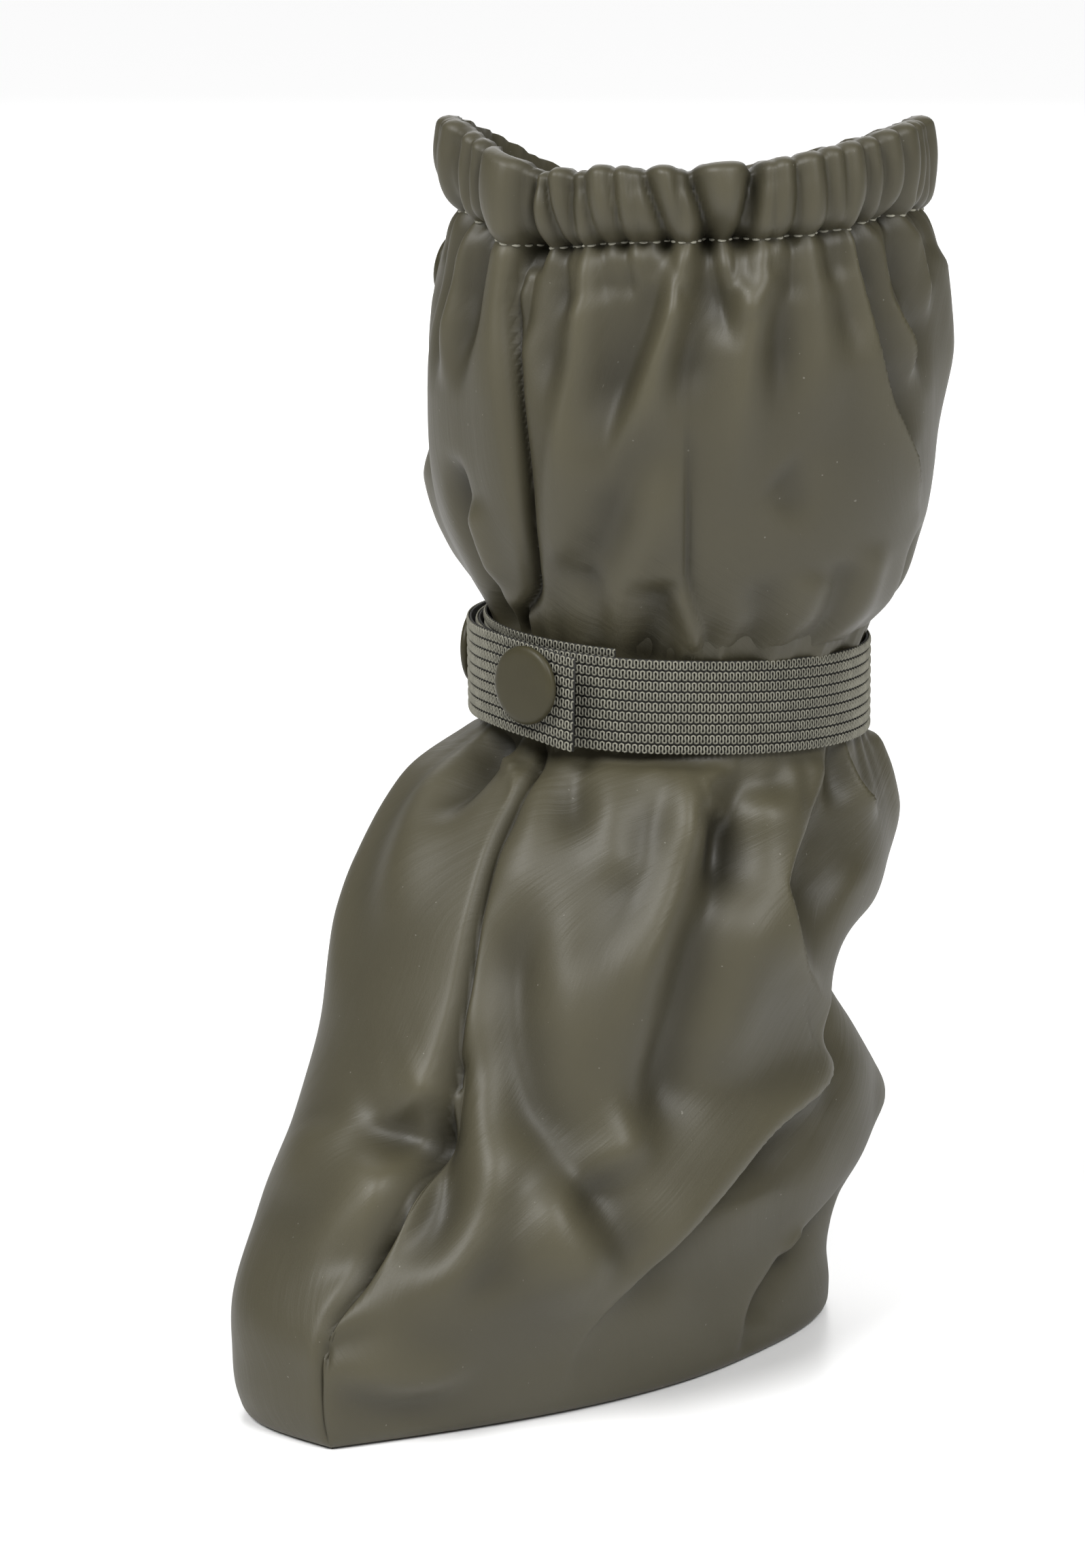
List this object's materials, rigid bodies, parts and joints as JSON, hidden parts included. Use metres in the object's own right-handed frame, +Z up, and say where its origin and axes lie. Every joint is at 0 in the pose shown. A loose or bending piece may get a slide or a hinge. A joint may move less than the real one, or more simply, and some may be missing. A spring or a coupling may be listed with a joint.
{
  "type": "rain overshoe",
  "caption": "Child's soft rain overshoe: a gathered coated-cloth bag on a flat sole, with an elastic collar and an elastic ankle strap closed by press studs. Left shoe.",
  "frame": {"origin": "middle of the flat sole's underside, on the floor", "axes": "+Z up, the toe points along -Y, the outer side of this left shoe along +X"},
  "size_m": [0.1109, 0.1804, 0.261],
  "materials": {
    "coated_cloth": "satin waterproof coating on a soft knit, dark olive",
    "sole_sheet": "matt coated sheet, dark olive",
    "knit_elastic": "knitted elastic, grey green",
    "snap_enamel": "olive enamel, fine grain, worn at the rim",
    "snap_dark": "dark olive enamel"
  },
  "bodies": {
    "root": {"upper": "coated_cloth", "sole": "sole_sheet", "ankle_strap": "knit_elastic", "strap_backing": "knit_elastic", "snap_cap_front": "snap_enamel", "snap_cap_side": "snap_enamel", "snap_stud_front": "snap_enamel", "pair_snap_ring": "snap_enamel", "pair_snap_stud": "snap_dark"}
  },
  "joints": []
}
